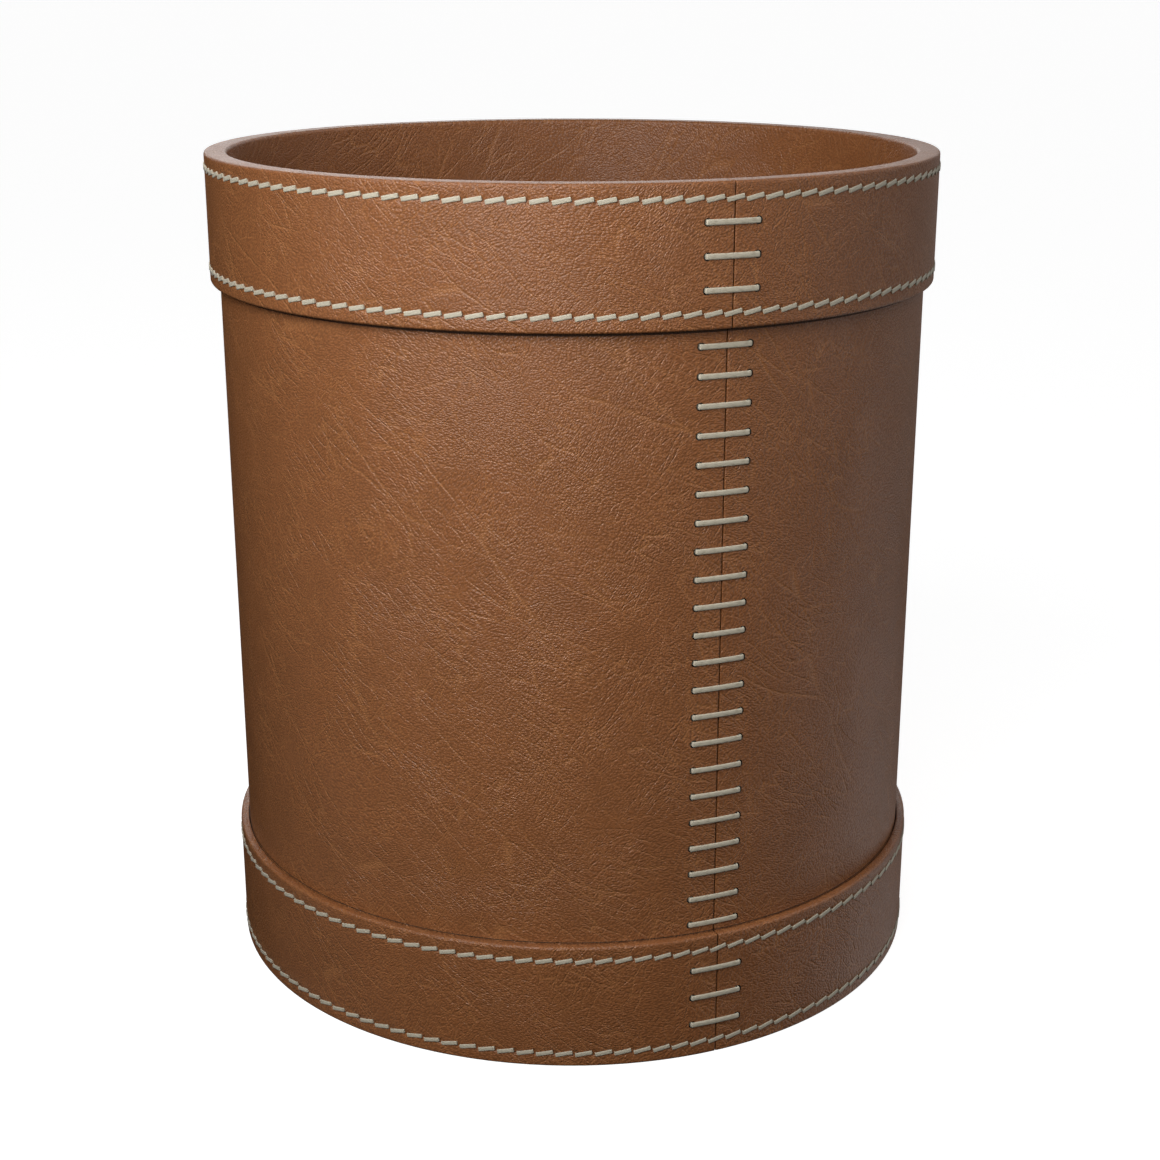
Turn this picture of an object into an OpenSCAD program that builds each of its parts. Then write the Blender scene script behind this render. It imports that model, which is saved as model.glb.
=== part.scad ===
// Leather dice cup.
// A stiff tube is covered and lined with leather. The cover is closed by a laced butt seam,
// a collar turned over the rim and a base band are sewn round it, and a board and a sole
// close the bottom under a padded leather floor.
// Origin: middle of the sole, on the table. +Z points up and the front faces -Y.

/* [Cup] */
// Height from the table to the rim
cup_h = 100; // [90:1:120]
// Radius over the collar and the base band
band_r = 43.9; // [42:0.1:50]
// Height of the collar, measured down from the rim
collar_h = 15.1; // [13:0.1:20]
// Height of the base band, measured up from the table
base_band_h = 15.2; // [13:0.1:20]
// Direction of the laced seam, turned from the front towards +X
seam_az = 22; // [-60:1:60]
// Direction of the lining's own glued seam
lining_seam_az = -40; // [-180:1:0]

/* [Leather and board] */
// Thickness of the collar and base band leather
band_t = 1.13; // [1:0.01:1.3]
// Thickness of the collar where it is pared down to turn over the rim
turn_t = 0.6; // [0.5:0.05:0.8]
// Thickness of the cover leather
cover_t = 0.6; // [0.55:0.01:0.9]
// Thickness of the core tube
core_t = 0.45; // [0.4:0.01:1]
// Thickness of the lining leather
lining_t = 0.5; // [0.4:0.01:0.9]
// Rounding of the burnished band edges
edge_r = 0.3; // [0.2:0.05:0.4]
// Width of the gap where two leather edges meet
seam_gap = 0.18; // [0.1:0.01:0.3]

/* [Bottom] */
// Thickness of the leather sole
sole_t = 1.2; // [1:0.1:2]
// Thickness of the board that stiffens the bottom
board_t = 2.5; // [2:0.1:4]
// Thickness of the felt that quiets the dice
felt_t = 1.5; // [1:0.1:3]
// Thickness of the leather floor lining
floor_t = 0.6; // [0.5:0.1:1]

/* [Edge stitching] */
// Stitches in each row round the cup
stitch_n = 122; // [60:2:130]
// Distance of each row from the edge of its band
stitch_inset = 1.7; // [1.4:0.1:2.5]
// Length of one stitch
stitch_l = 2.08; // [1.8:0.01:2.1]
// Width of the stitching thread
stitch_w = 0.52; // [0.4:0.01:0.6]
// Height of a stitch above the leather
stitch_rise = 0.28; // [0.2:0.01:0.4]
// Slant of each stitch, rising to the right
stitch_tilt = 11.5; // [0:0.5:15]

/* [Seam lacing] */
// Lacing stitches across the cover's seam
cover_lace_n = 22; // [10:1:24]
// Lacing stitches across the seam of the collar, and of the base band
band_lace_n = 3; // [2:1:4]
// Spacing of the lacing stitches on the collar and the base band
band_lace_pitch = 3.45; // [2.5:0.05:3.5]
// Span of a lacing stitch between the middles of its two holes
lace_span = 5.6; // [4.5:0.1:7]
// Width of the lacing thread
lace_w = 0.66; // [0.5:0.01:0.7]
// Height of a lacing stitch above the leather
lace_rise = 0.36; // [0.2:0.01:0.5]
// Diameter of the punched lacing holes
lace_hole_d = 0.86; // [0.75:0.01:1]

/* [Hidden] */
$fn = 96;

// Radii of the wall's layers, from the outside in
cover_r = band_r - band_t;
core_r = cover_r - cover_t;
lining_r = core_r - core_t;
inner_r = lining_r - lining_t;

// Heights of the layers
collar_z = cup_h - collar_h;
wall_top = cup_h - turn_t;
board_z = sole_t;
felt_z = board_z + board_t;
floor_z = felt_z + felt_t;

// A cut runs this far past the faces that it opens
past = 1;

// Edge stitching: rows, the locked back thread and the slits that the thread passes through
collar_rows = [collar_z + stitch_inset, cup_h - stitch_inset];
base_rows = [stitch_inset, base_band_h - stitch_inset];
stitch_step = 360 / stitch_n;
stitch_az = seam_az + 0.23;
back_w = 0.46;
back_t = 0.2;
groove_w = 0.6;
groove_t = 0.24;
leg_w = 0.5;
leg_h = 0.4;
slit_play = 0.06;

// Seam lacing: heights of its stitches, its legs and its runs behind the leather
lace_top = collar_z - 1.92;
lace_bottom = base_band_h + 1.2;
cover_lace_pitch = (lace_top - lace_bottom) / (cover_lace_n - 1);
cover_lace_z = [for (i = [0:cover_lace_n - 1]) lace_bottom + i * cover_lace_pitch];
collar_lace_z = band_heights(collar_z + collar_h / 2);
base_lace_z = band_heights(base_band_h / 2);
lace_leg_d = 0.6;
run_w = 0.5;
run_t = 0.22;
run_groove_w = 0.66;
run_groove_t = 0.28;

leather_colour = "#9a6238";
lining_colour = "#7a4628";
thread_colour = "#d6cfb8";
board_colour = "#a9a08f";
felt_colour = "#5c5148";

// Heights of a band's lacing stitches, centred on its middle
function band_heights(middle) =
    [for (i = [0:band_lace_n - 1]) middle + (i - (band_lace_n - 1) / 2) * band_lace_pitch];

// Turn that puts a point on a surface of radius r an arc of length s away
function arc_turn(s, r) = s / r * 180 / PI;

// Turns +X outwards at an azimuth counted from the front towards +X
module at_azimuth(az) {
    rotate([0, 0, az - 90])
        children();
}

module sleeve(r_in, r_out, z0, z1) {
    rotate_extrude()
        translate([r_in, z0])
            square([r_out - r_in, z1 - z0]);
}

module disc(r, z, t) {
    translate([0, 0, z])
        cylinder(r = r, h = t);
}

// What rounding takes off a profile's corner; dir points from the corner into the leather
module corner_waste(corner, dir, r) {
    middle = corner + r * dir;
    outside = corner - past * dir;
    low = [min(middle.x, outside.x), min(middle.y, outside.y)];
    high = [max(middle.x, outside.x), max(middle.y, outside.y)];
    difference() {
        translate(low)
            square(high - low);
        translate(middle)
            circle(r = r);
    }
}

// The straight cut where a wrapped piece of leather meets its own other edge
module seam_cut(az, z0, z1) {
    at_azimuth(az)
        translate([inner_r - past, -seam_gap / 2, z0 - past])
            cube([band_r - inner_r + 2 * past, seam_gap, z1 - z0 + 2 * past]);
}

// Pricked slits for one row of edge stitching, halfway between its stitches
module stitch_slits(z) {
    w = leg_w + 2 * slit_play;
    h = leg_h + 2 * slit_play;
    for (i = [0:stitch_n - 1])
        at_azimuth(stitch_az + (i + 0.5) * stitch_step)
            translate([core_r - past, -w / 2, z - h / 2])
                cube([band_r - core_r + 2 * past, w, h]);
}

// Groove behind the cover for the back thread of one row
module back_groove(z) {
    sleeve(core_r - past, core_r + groove_t, z - groove_w / 2, z + groove_w / 2);
}

// One row of lockstitch: slanted front stitches, legs through the leather and the back thread
module stitch_row(z) {
    front = band_r - core_r;
    color(thread_colour)
        union() {
            sleeve(core_r, core_r + back_t, z - back_w / 2, z + back_w / 2);
            for (i = [0:stitch_n - 1]) {
                at_azimuth(stitch_az + i * stitch_step)
                    translate([band_r + stitch_rise / 2, 0, z])
                        rotate([stitch_tilt, 0, 0])
                            cube([stitch_rise, stitch_l, stitch_w], center = true);
                at_azimuth(stitch_az + (i + 0.5) * stitch_step)
                    translate([core_r + back_t / 2, -leg_w / 2, z - leg_h / 2])
                        cube([front + stitch_rise / 4, leg_w, leg_h]);
            }
        }
}

// Side of the seam, left or right, on which the lacing climbs behind the leather
function climb_side(i) = i % 2 == 0 ? -1 : 1;

// Punched holes for the lacing and the grooves for its runs behind the leather
module lacing_cuts(back_r, heights) {
    turn = arc_turn(lace_span / 2, back_r);
    for (z = heights, side = [-1, 1])
        at_azimuth(seam_az + side * turn)
            translate([back_r - past, 0, z])
                rotate([0, 90, 0])
                    cylinder(d = lace_hole_d, h = band_t + 2 * past);
    for (i = [0:len(heights) - 2])
        at_azimuth(seam_az + climb_side(i) * turn)
            translate([back_r - past, -run_groove_w / 2, heights[i]])
                cube([past + run_groove_t, run_groove_w, heights[i + 1] - heights[i]]);
}

// Lacing: stitches across the seam, legs down their holes and climbing runs behind the leather
module lacing(back_r, face_r, heights) {
    turn = arc_turn(lace_span / 2, back_r);
    color(thread_colour)
        union() {
            for (z = heights) {
                rotate_extrude(start = seam_az - 90 - turn, angle = 2 * turn)
                    translate([face_r, z])
                        lace_profile();
                for (side = [-1, 1])
                    at_azimuth(seam_az + side * turn)
                        translate([back_r + run_t / 2, 0, z])
                            rotate([0, 90, 0])
                                cylinder(d = lace_leg_d, h = face_r - back_r - run_t / 2 + lace_rise);
            }
            for (i = [0:len(heights) - 2])
                at_azimuth(seam_az + climb_side(i) * turn)
                    translate([back_r, -run_w / 2, heights[i]])
                        cube([run_t, run_w, heights[i + 1] - heights[i]]);
        }
}

// Cross-section of a lacing stitch: flat against the leather, crowned outside
module lace_profile() {
    crown = lace_rise / 2;
    difference() {
        translate([0, -lace_w / 2])
            square([lace_rise, lace_w]);
        corner_waste([lace_rise, lace_w / 2], [-1, -1], crown);
        corner_waste([lace_rise, -lace_w / 2], [-1, 1], crown);
    }
}

// Leather tube under everything that shows, open along the laced seam
module outer_cover() {
    color(leather_colour)
        difference() {
            sleeve(core_r, cover_r, 0, wall_top);
            seam_cut(seam_az, 0, wall_top);
            lacing_cuts(core_r, cover_lace_z);
            for (z = concat(collar_rows, base_rows)) {
                stitch_slits(z);
                back_groove(z);
            }
        }
}

// Stiff fibreboard tube between the cover and the lining
module core_tube() {
    color(board_colour)
        sleeve(lining_r, core_r, board_z, wall_top);
}

// Leather inside the tube, standing on the board
module lining_sleeve() {
    color(lining_colour)
        difference() {
            sleeve(inner_r, lining_r, felt_z, wall_top);
            seam_cut(lining_seam_az, felt_z, wall_top);
        }
}

// Leather band round the mouth, turned over the rim to the inside of the lining
module collar() {
    color(leather_colour)
        difference() {
            rotate_extrude()
                collar_profile();
            seam_cut(seam_az, collar_z, cup_h);
            lacing_cuts(cover_r, collar_lace_z);
            for (z = collar_rows)
                stitch_slits(z);
        }
}

module collar_profile() {
    rim_r = turn_t - 0.15;
    difference() {
        translate([inner_r, collar_z])
            square([band_r - inner_r, collar_h]);
        translate([inner_r - past, collar_z - past])
            square([cover_r - inner_r + past, collar_h - turn_t + past]);
        corner_waste([inner_r, cup_h], [1, -1], rim_r);
        corner_waste([band_r, cup_h], [-1, -1], edge_r);
        corner_waste([band_r, collar_z], [-1, 1], edge_r);
    }
}

// Leather band round the foot
module base_band() {
    color(leather_colour)
        difference() {
            rotate_extrude()
                base_band_profile();
            seam_cut(seam_az, 0, base_band_h);
            lacing_cuts(cover_r, base_lace_z);
            for (z = base_rows)
                stitch_slits(z);
        }
}

module base_band_profile() {
    difference() {
        translate([cover_r, 0])
            square([band_t, base_band_h]);
        corner_waste([band_r, base_band_h], [-1, -1], edge_r);
        corner_waste([band_r, 0], [-1, 1], edge_r);
    }
}

// Board that stiffens the bottom, inside the core tube
module base_board() {
    color(board_colour)
        disc(lining_r, board_z, board_t);
}

// Leather disc that the cup stands on
module base_sole() {
    color(leather_colour)
        disc(core_r, 0, sole_t);
}

// Felt disc that quiets the dice
module floor_felt() {
    color(felt_colour)
        disc(inner_r, felt_z, felt_t);
}

// Leather disc that the dice land on
module floor_lining() {
    color(lining_colour)
        disc(inner_r, floor_z, floor_t);
}

module cover_lacing() {
    lacing(core_r, cover_r, cover_lace_z);
}

module collar_lacing() {
    lacing(cover_r, band_r, collar_lace_z);
}

module base_band_lacing() {
    lacing(cover_r, band_r, base_lace_z);
}

module collar_upper_stitching() {
    stitch_row(collar_rows[1]);
}

module collar_lower_stitching() {
    stitch_row(collar_rows[0]);
}

module base_upper_stitching() {
    stitch_row(base_rows[1]);
}

module base_lower_stitching() {
    stitch_row(base_rows[0]);
}

outer_cover();
core_tube();
lining_sleeve();
collar();
base_band();
base_board();
base_sole();
floor_felt();
floor_lining();
cover_lacing();
collar_lacing();
base_band_lacing();
collar_upper_stitching();
collar_lower_stitching();
base_upper_stitching();
base_lower_stitching();
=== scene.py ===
"""Looks of a leather dice cup: wrapped and laced leather, waxed thread, and the boards and felt inside."""

import math
import random
from functools import partial

import bmesh
import bpy
from bpy.props import FloatProperty, FloatVectorProperty, IntProperty, PointerProperty
from bpy.types import Operator, Panel, PropertyGroup
from mathutils import Matrix, Vector


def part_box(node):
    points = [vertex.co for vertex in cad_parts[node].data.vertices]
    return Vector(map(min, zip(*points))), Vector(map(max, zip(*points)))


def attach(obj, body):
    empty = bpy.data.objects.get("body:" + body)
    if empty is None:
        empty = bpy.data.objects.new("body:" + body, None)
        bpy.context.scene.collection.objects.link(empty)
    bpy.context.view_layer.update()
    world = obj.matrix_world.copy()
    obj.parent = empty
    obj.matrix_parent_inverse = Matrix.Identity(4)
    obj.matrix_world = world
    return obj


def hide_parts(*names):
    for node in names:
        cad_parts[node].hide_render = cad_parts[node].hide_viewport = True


bl_info = {
    "name": "Leather Dice Cup",
    "version": (1, 0, 0),
    "blender": (4, 5, 0),
    "location": "View3D > Sidebar > Dice Cup",
    "description": "Builds the leather, thread and studio of a hand-stitched dice cup",
    "category": "Object",
}

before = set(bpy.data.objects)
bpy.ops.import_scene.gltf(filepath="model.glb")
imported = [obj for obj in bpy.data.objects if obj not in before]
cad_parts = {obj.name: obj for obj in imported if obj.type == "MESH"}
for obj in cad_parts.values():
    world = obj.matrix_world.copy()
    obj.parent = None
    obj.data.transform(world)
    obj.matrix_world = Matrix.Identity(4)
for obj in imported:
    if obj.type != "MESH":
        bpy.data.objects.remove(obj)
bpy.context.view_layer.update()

MM = 0.001
BODY = "root"

SAME = 0.001 * MM  # points closer than this are one
NEAR = 0.01 * MM  # how far from its nominal place a point still counts as there


# ---------------------------------------------------------------- sizes taken from the frame


def outer_radius(node):
    """Radius of a round CAD node, measured to its outermost corner."""
    return max(math.hypot(v.co.x, v.co.y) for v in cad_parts[node].data.vertices)


def middle_z(node):
    """Height of the middle of a CAD node."""
    low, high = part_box(node)
    return (low.z + high.z) / 2


BAND_R = outer_radius("collar")
COVER_R = outer_radius("outer_cover")
CORE_R = outer_radius("core_tube")
LINING_R = outer_radius("lining_sleeve")
INNER_R = outer_radius("floor_lining")
COLLAR_Z, CUP_H = (corner.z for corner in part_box("collar"))
BASE_BAND_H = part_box("base_band")[1].z
WALL_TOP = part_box("outer_cover")[1].z
LINING_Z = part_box("lining_sleeve")[0].z
FLOOR_LOW, FLOOR_TOP = (corner.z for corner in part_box("floor_lining"))
SOLE_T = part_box("base_sole")[1].z

COLLAR_ROWS = {"collar_upper_stitching": middle_z("collar_upper_stitching"),
               "collar_lower_stitching": middle_z("collar_lower_stitching")}
BASE_ROWS = {"base_upper_stitching": middle_z("base_upper_stitching"),
             "base_lower_stitching": middle_z("base_lower_stitching")}


# ---------------------------------------------------------------- settings


def linear(hex_colour):
    """Linear RGBA of an sRGB hex colour."""
    parts = [int(hex_colour[i : i + 2], 16) / 255 for i in (1, 3, 5)]
    return tuple(c / 12.92 if c <= 0.04045 else ((c + 0.055) / 1.055) ** 2.4 for c in parts) + (1.0,)


def length(name, about, default_mm):
    """A length setting, given in millimetres."""
    return FloatProperty(
        name=name,
        description=about,
        default=default_mm * MM,
        min=0.0,
        precision=5,
        subtype="DISTANCE",
        unit="LENGTH",
    )


def angle(name, about, default_degrees):
    """An angle setting, given in degrees."""
    return FloatProperty(
        name=name,
        description=about,
        default=math.radians(default_degrees),
        subtype="ANGLE",
        unit="ROTATION",
    )


def colour(name, about, default_hex):
    """A colour setting, given as sRGB hex."""
    return FloatVectorProperty(
        name=name,
        description=about,
        default=linear(default_hex),
        size=4,
        min=0.0,
        max=1.0,
        subtype="COLOR",
    )


class CupLeatherSettings(PropertyGroup):
    seam_turn: angle("Seam direction", "Turn of the laced seam from the front towards +X", 22)
    lining_seam_turn: angle("Lining seam direction", "Turn of the lining's glued seam from the front", -40)
    seam_gap: length("Seam gap", "Width of the gap where two leather edges meet", 0.15)
    lip: length("Seam lip", "Rounding of the leather's edges along a seam", 0.08)
    edge_round: length("Edge rounding", "Rounding of the burnished band edges", 0.3)
    inner_round: length("Inner rounding", "Rounding of the band edges that lie on the cover", 0.3)
    rim_round: length("Rim rounding", "Rounding of the collar where it meets the lining", 0.42)
    leather: colour("Leather", "Dyed face of the calf leather", "#935c35")
    leather_deep: colour("Leather, deep", "Dye that has gathered in the darker patches", "#8f5a34")
    leather_warm: colour("Leather, warm", "Dye stretched thin along the creases", "#b07647")
    board: colour("Board", "Grey board of the tube and the bottom", "#a79c88")
    felt: colour("Felt", "Felt under the floor", "#5c5148")


class CupThreadSettings(PropertyGroup):
    stitches: IntProperty(name="Stitches", description="Edge stitches in each row", default=122, min=3)
    stitch_offset: angle("Stitch offset", "Turn from the seam to the stitch that crosses it", 0.23)
    stitch_length: length("Stitch length", "Length of one edge stitch", 2.0)
    stitch_width: length("Stitch width", "Width of the edge thread", 0.5)
    stitch_rise: length("Stitch rise", "Height of an edge stitch above the leather", 0.12)
    stitch_slant: angle("Stitch slant", "Slant of each edge stitch, rising to the right", 11.5)
    cover_laces: IntProperty(name="Cover laces", description="Laces on the cover's seam", default=22, min=2)
    band_laces: IntProperty(name="Band laces", description="Laces on each band's seam", default=3, min=2)
    lace_span: length("Lace span", "Distance between a lace's two holes", 5.6)
    lace_width: length("Lace width", "Width of the lacing thread", 0.62)
    lace_rise: length("Lace rise", "Height of a lace above the leather", 0.22)
    hole_width: length("Hole width", "Diameter of the punched lacing holes", 0.92)
    thread: colour("Thread", "Waxed linen thread", "#bbb3a0")
    thread_dark: colour("Thread, dark", "Between the plies of the thread", "#9a907b")


# ---------------------------------------------------------------- places round the cup


def outward(turn):
    """Direction away from the axis at a turn counted from the front (-Y) towards +X."""
    return Vector((math.sin(turn), -math.cos(turn), 0.0))


def turn_of(co):
    return math.atan2(co.x, -co.y)


def turn_past(co, start):
    """Turn of a point counted on from a seam, from 0 to a full turn."""
    return (turn_of(co) - start) % math.tau


def turn_between(start, end):
    """Signed turn from one direction to another, the short way."""
    return (end - start + math.pi) % math.tau - math.pi


def wrap(co, turn, radius):
    """Lays a flat point (along, out, up) on the cup's surface of the given radius."""
    around = turn + co.x / radius
    return outward(around) * (radius + co.y) + Vector((0.0, 0.0, co.z))


# ---------------------------------------------------------------- modelling by hand


def start_clean():
    if bpy.context.object and bpy.context.object.mode != "OBJECT":
        bpy.ops.object.mode_set(mode="OBJECT")
    bpy.ops.object.select_all(action="DESELECT")


def edit(piece):
    start_clean()
    bpy.context.view_layer.objects.active = piece
    piece.select_set(True)
    bpy.ops.object.mode_set(mode="EDIT")
    return bmesh.from_edit_mesh(piece.data)


def done(piece):
    bpy.ops.object.mode_set(mode="OBJECT")
    return piece


def settle(name):
    """Names the new primitive and puts its place and size into its mesh."""
    piece = bpy.context.object
    piece.name = piece.data.name = name
    bpy.ops.object.transform_apply(location=True, rotation=True, scale=True)
    return piece


def select_only(bm, items):
    bpy.ops.mesh.select_all(action="DESELECT")
    for item in items:
        item.select = True
    bm.select_flush_mode()


def cut_rows(piece, heights):
    """Cuts level rows into the section at the given heights."""
    edit(piece)
    for z in heights:
        bpy.ops.mesh.select_all(action="SELECT")
        bpy.ops.mesh.bisect(plane_co=(0, 0, z), plane_no=(0, 0, 1))
    return done(piece)


def section_of_leather(name, r_in, r_out, z_low, z_high, turn):
    """The cut end of a strip of leather, standing upright at a seam."""
    middle = outward(turn) * (r_in + r_out) / 2 + Vector((0, 0, (z_low + z_high) / 2))
    start_clean()
    bpy.ops.mesh.primitive_plane_add(size=1, location=middle, rotation=(math.pi / 2, 0, turn - math.pi / 2))
    bpy.context.object.scale = (r_out - r_in, z_high - z_low, 1)
    return settle(name)


def round_corners(piece, corners, radius, segments=4):
    """Rounds the corners of a section that stand at the given (radius, height) places."""
    bm = edit(piece)
    bpy.ops.mesh.select_mode(type="VERT")
    near = [
        v
        for v in bm.verts
        if any(math.hypot(v.co.xy.length - r, v.co.z - z) < NEAR for r, z in corners)
    ]
    select_only(bm, near)
    bpy.ops.mesh.bevel(offset=radius, segments=segments, affect="VERTICES", profile=0.5)
    return done(piece)


def wrap_round(piece, legs):
    """Sweeps a section round the cup; each leg is (steps, turn)."""
    edit(piece)
    bpy.ops.mesh.select_mode(type="FACE")
    bpy.ops.mesh.select_all(action="SELECT")
    for steps, turn in legs:
        bpy.ops.mesh.spin(steps=steps, angle=turn, center=(0, 0, 0), axis=(0, 0, 1))
    bpy.ops.mesh.select_all(action="SELECT")
    bpy.ops.mesh.remove_doubles(threshold=SAME)
    bpy.ops.mesh.normals_make_consistent(inside=False)
    return done(piece)


def divide_steps(piece, start, step, cuts):
    """Divides each step of a sweep evenly and brings the new points out to the round."""
    bm = edit(piece)
    bpy.ops.mesh.select_mode(type="EDGE")

    def goes_round(e):
        a, b = (v.co for v in e.verts)
        return abs(a.z - b.z) < SAME and abs(a.xy.length - b.xy.length) < SAME

    select_only(bm, [e for e in bm.edges if goes_round(e)])
    bpy.ops.mesh.subdivide(number_cuts=cuts)
    done(piece)
    for v in piece.data.vertices:
        off_middle = turn_past(v.co, start) % step - step / 2
        v.co.xy *= math.cos(off_middle) / math.cos(step / 2)


def soften_seam(piece, seam_turn, lip):
    """Rounds the outline of both cut ends of a wrapped strip."""
    bm = edit(piece)
    front, across = outward(seam_turn), outward(seam_turn + math.pi / 2)
    upright = [f for f in bm.faces if abs(f.normal.dot(across)) > 0.999]
    ends = {f for f in upright if front.dot(f.calc_center_median()) > 0}
    outline = [e for e in bm.edges if len(e.link_faces) == 2 and len(ends.intersection(e.link_faces)) == 1]
    bpy.ops.mesh.select_mode(type="EDGE")
    select_only(bm, outline)
    bpy.ops.mesh.bevel(offset=lip, segments=3, profile=0.5, affect="EDGES")
    return done(piece)


def press_rows(piece, rows, thread):
    """Sinks the leather along each row of edge stitching, deepest where the thread goes through."""
    step = math.tau / thread.stitches
    first = bpy.context.scene.cup_leather.seam_turn + thread.stitch_offset + step / 2
    furrow, furrow_half = 0.05 * MM, 0.4 * MM
    dimple, dimple_half = 0.17 * MM, 0.26 * MM
    reach = 4 * furrow_half
    for v in piece.data.vertices:
        r = math.hypot(v.co.x, v.co.y)
        if r < BAND_R - NEAR:
            continue
        for z in rows:
            up = v.co.z - z
            if abs(up) > reach:
                continue
            beside = (((turn_of(v.co) - first) / step + 0.5) % 1 - 0.5) * step * r
            sink = furrow * math.exp(-((up / furrow_half) ** 2))
            sink += dimple * math.exp(-(beside**2 + up**2) / dimple_half**2)
            v.co.xy *= (r - sink) / r


def lace_heights(node, count, width):
    """Evenly spaced heights of a seam's laces."""
    low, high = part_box(node)
    first, last = low.z + width / 2, high.z - width / 2
    return [first + i * (last - first) / (count - 1) for i in range(count)]


def hole_places(heights, thread, back_r):
    """(turn, height) of every lacing hole; the holes are stepped out behind the leather."""
    seam = bpy.context.scene.cup_leather.seam_turn
    half = thread.lace_span / 2 / back_r
    return [(seam + side * half, z) for z in heights for side in (-1, 1)]


# How far from its back the leather all but touches the layer underneath, as a share of its thickness; faces
# this close get painted shade, which stands for the shade of the narrow gap between two layers
TOUCHING = 0.14


def punch(piece, places, face_r, back_r, width):
    """Punches round holes: a block of faces on each side becomes a ring, and the rings are bridged.

    The hole walls and the leather that all but touches the layer underneath are marked for painted shade: a
    dark colour in the material stands for the shade in the holes and in the narrow gaps.
    """
    bm = bmesh.new()
    bm.from_mesh(piece.data)
    hollow = bm.faces.layers.float.new("hollow")
    half = width / 2
    skin_depth = 0.05 * MM
    rings = [[] for _ in places]
    for radius in (face_r, back_r):
        skin = [f for f in bm.faces if all(abs(v.co.xy.length - radius) < skin_depth for v in f.verts)]
        middles = [(f, turn_of(f.calc_center_median()), f.calc_center_median().z) for f in skin]
        for (turn, z), ring in zip(places, rings):
            level = [(f, around) for f, around, up in middles if abs(up - z) < half]
            block = [f for f, around in level if abs(turn_between(turn, around)) * radius < half]
            inside = set(block)
            rim = [e for f in block for e in f.edges if not inside.issuperset(e.link_faces)]
            for v in {v for e in rim for v in e.verts}:
                along, up = turn_between(turn, turn_of(v.co)) * radius, v.co.z - z
                stretch = half / math.hypot(along, up)
                v.co = wrap(Vector((along * stretch, 0, z + up * stretch)), turn, radius)
            ring += rim
            bmesh.ops.delete(bm, geom=block, context="FACES")
    for ring in rings:
        for wall in bmesh.ops.bridge_loops(bm, edges=ring)["faces"]:
            wall[hollow] = 1.0
    touching_r = back_r + TOUCHING * (face_r - back_r)
    for face in bm.faces:
        middle = face.calc_center_median()
        if middle.xy.length < touching_r and middle.z < WALL_TOP:
            face[hollow] = 1.0
    bm.to_mesh(piece.data)
    bm.free()


# Strips of the cover in the corners where the bands lie on it, which get painted shade for the collar's
# shadow and the gap over the base band: their heights and how dark that painted shade is
UNDER_COLLAR = 0.42 * MM
OVER_BASE_BAND = 0.12 * MM
PAINTED_STRIP_SHADE = 0.8


def paint_strip_shade(piece, joints):
    """Marks the cover's faces between the given pairs of heights for painted shade: the shadow under the
    collar's edge and the shade in the gap over the base band.
    """
    hollow = piece.data.attributes["hollow"].data
    for face in piece.data.polygons:
        if any(low < face.center.z < high for low, high in joints):
            hollow[face.index].value = PAINTED_STRIP_SHADE


def smooth(piece, degrees=40):
    """Shades the piece smooth, except over edges sharper than the given angle."""
    start_clean()
    bpy.context.view_layer.objects.active = piece
    piece.select_set(True)
    bpy.ops.object.shade_smooth_by_angle(angle=math.radians(degrees))


UV_UNIT = 100 * MM  # one unit of every UV map is this much leather or thread


def lay_out_strip(piece, seam_turn, radius):
    """UVs of a wrapped strip: along it, and across it over its edges."""
    layer = piece.data.uv_layers.new(name="hide")
    for loop in piece.data.loops:
        co = piece.data.vertices[loop.vertex_index].co
        along = turn_past(co, seam_turn) * radius
        across = co.z + radius - math.hypot(co.x, co.y)
        layer.data[loop.index].uv = (along / UV_UNIT, across / UV_UNIT)


def lay_out_disc(piece):
    """UVs of a disc, seen from above."""
    layer = piece.data.uv_layers.new(name="hide")
    for loop in piece.data.loops:
        co = piece.data.vertices[loop.vertex_index].co
        layer.data[loop.index].uv = (co.x / UV_UNIT, co.y / UV_UNIT)


def hand_over(piece, node, material):
    """Gives a finished piece its material, body and slot, and hides the CAD node it stands for."""
    piece.data.materials.clear()
    piece.data.materials.append(material)
    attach(piece, BODY)
    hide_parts(node)
    return piece


# ---------------------------------------------------------------- materials

WHITE = linear("#ffffff")
# Colour of the painted shade in the holes, in the narrow gaps between layers and on the strips under the
# bands' edges
IN_SHADE = linear("#1d140d")
SMOOTH = {"interpolation_type": "SMOOTHSTEP"}


def new_material(name):
    material = bpy.data.materials.new(name)
    material.use_nodes = True
    material.node_tree.nodes.clear()
    return material, material.node_tree


def put(tree, kind, settings=None, links=None):
    """Adds a node, sets its properties and inputs, and links its inputs.

    settings: a property, or an input's name or number -> value; links: an input's name or number -> socket.
    """
    node = tree.nodes.new(kind)
    for key, value in (settings or {}).items():
        if isinstance(key, str) and hasattr(node, key):
            setattr(node, key, value)
        else:
            node.inputs[key].default_value = value
    for key, socket in (links or {}).items():
        tree.links.new(socket, node.inputs[key])
    return node


def per_unit(size_mm):
    """How often something of this size fits into one unit of a UV map."""
    return UV_UNIT / (size_mm * MM)


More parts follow.
